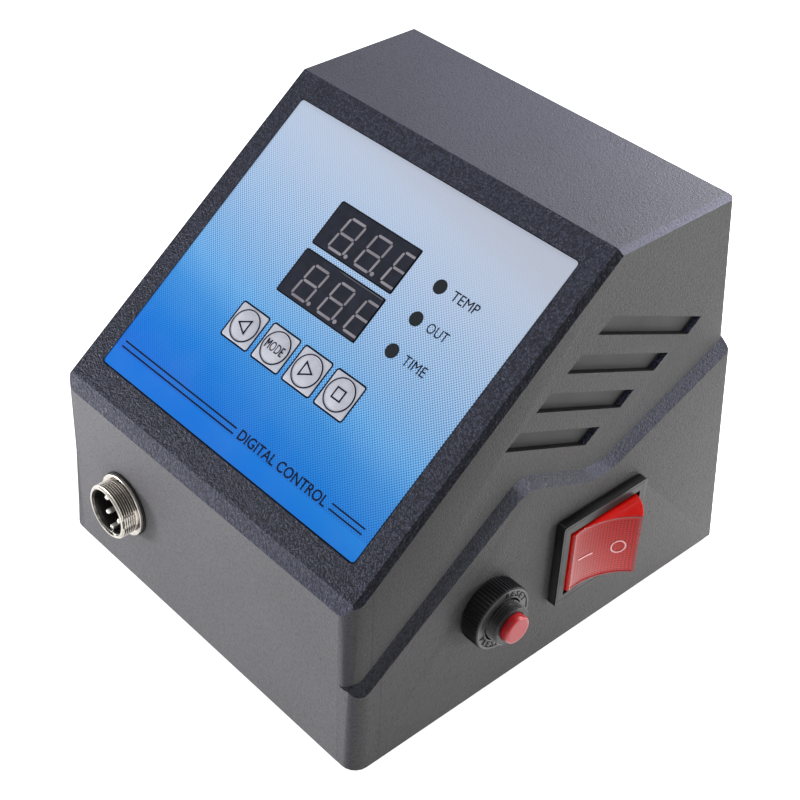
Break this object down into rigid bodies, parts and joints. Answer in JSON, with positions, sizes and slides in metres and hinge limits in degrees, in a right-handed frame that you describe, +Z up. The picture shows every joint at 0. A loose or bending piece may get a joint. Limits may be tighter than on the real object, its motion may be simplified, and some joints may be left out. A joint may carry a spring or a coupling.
{
  "type": "digital temperature controller",
  "caption": "Sloped-front desktop time and temperature control box with digital displays, membrane keys, a side rocker switch, a reset breaker and a round output connector.",
  "frame": {"origin": "on the bench, under the middle of the whole object", "axes": "the front wall with the round connector looks along -Y, the power switch is on the +X side, +Z is up"},
  "size_m": [0.1384, 0.1494, 0.1245],
  "materials": {
    "housing_plastic": "fine leather grain, dark grey",
    "black_plastic": "smooth, black",
    "rubber": "matt, black",
    "steel": "zinc plated",
    "nickel": "nickel plated, satin",
    "overlay_film": "printed film, blue fading to pale grey",
    "key_silver": "silver printed film, embossed",
    "display_face": "dark filter",
    "lamp_lens": "unlit, dark",
    "circuit_board": "solder mask",
    "chip": "moulded, black",
    "core_steel": "laminated, varnished",
    "winding_tape": "tape wrapped",
    "aluminium": "extruded",
    "terminal_green": "moulded, green",
    "rocker_red": "translucent red",
    "button_red": "opaque red",
    "brass": "tinned"
  },
  "bodies": {
    "enclosure": {"housing_shell": "housing_plastic", "base_plate": "housing_plastic", "rubber_foot_front_left": "rubber", "rubber_foot_front_right": "rubber", "rubber_foot_rear_left": "rubber", "rubber_foot_rear_right": "rubber", "base_screw_front_left": "steel", "base_screw_front_right": "steel", "base_screw_rear_left": "steel", "base_screw_rear_right": "steel", "panel_overlay": "overlay_film", "control_board": "circuit_board", "display_upper": "display_face", "display_lower": "display_face", "lamp_temp": "lamp_lens", "lamp_out": "lamp_lens", "lamp_time": "lamp_lens", "tact_switch_1": "chip", "tact_switch_2": "chip", "tact_switch_3": "chip", "tact_switch_4": "chip", "board_screw_1": "steel", "board_screw_2": "steel", "board_screw_3": "steel", "board_screw_4": "steel", "microcontroller": "chip", "buzzer": "black_plastic", "power_board": "circuit_board", "transformer_core": "core_steel", "transformer_winding": "winding_tape", "power_triac": "chip", "heat_sink": "aluminium", "terminal_block": "terminal_green", "switch_body": "black_plastic", "switch_terminal_1": "brass", "switch_terminal_2": "brass", "switch_terminal_3": "brass", "switch_terminal_4": "brass", "breaker_body": "black_plastic", "breaker_nut": "black_plastic", "breaker_terminal_1": "brass", "breaker_terminal_2": "brass", "connector_shell": "nickel", "connector_gasket": "rubber", "connector_insert": "black_plastic", "connector_pin_1": "nickel", "connector_pin_2": "nickel", "connector_pin_3": "nickel", "connector_pin_4": "nickel", "connector_nut": "nickel", "inlet_body": "black_plastic", "inlet_pin_line": "nickel", "inlet_pin_neutral": "nickel", "inlet_pin_earth": "nickel"},
    "rocker": {"power_rocker": "rocker_red"},
    "reset": {"reset_button": "button_red"},
    "decrease": {"key_decrease": "key_silver"},
    "mode": {"key_mode": "key_silver"},
    "increase": {"key_increase": "key_silver"},
    "stop": {"key_stop": "key_silver"}
  },
  "joints": [
    {"name": "rocker_tilt", "type": "hinge", "parent": "enclosure", "child": "rocker", "pos_m": [0.05625, 0.01651, 0.0347], "axis": [0, 0, 1], "range_deg": [0, 33]},
    {"name": "reset_press", "type": "slide", "parent": "enclosure", "child": "reset", "axis": [-1, 0, 0], "range_m": [0, 0.002], "stiffness_N_per_m": 600, "springref_m": -0.001},
    {"name": "decrease_press", "type": "slide", "parent": "enclosure", "child": "decrease", "axis": [0, 0.6276, -0.7785], "range_m": [0, 0.0004], "stiffness_N_per_m": 1200, "springref_m": -0.0004},
    {"name": "mode_press", "type": "slide", "parent": "enclosure", "child": "mode", "axis": [0, 0.6276, -0.7785], "range_m": [0, 0.0004], "stiffness_N_per_m": 1200, "springref_m": -0.0004},
    {"name": "increase_press", "type": "slide", "parent": "enclosure", "child": "increase", "axis": [0, 0.6276, -0.7785], "range_m": [0, 0.0004], "stiffness_N_per_m": 1200, "springref_m": -0.0004},
    {"name": "stop_press", "type": "slide", "parent": "enclosure", "child": "stop", "axis": [0, 0.6276, -0.7785], "range_m": [0, 0.0004], "stiffness_N_per_m": 1200, "springref_m": -0.0004}
  ]
}
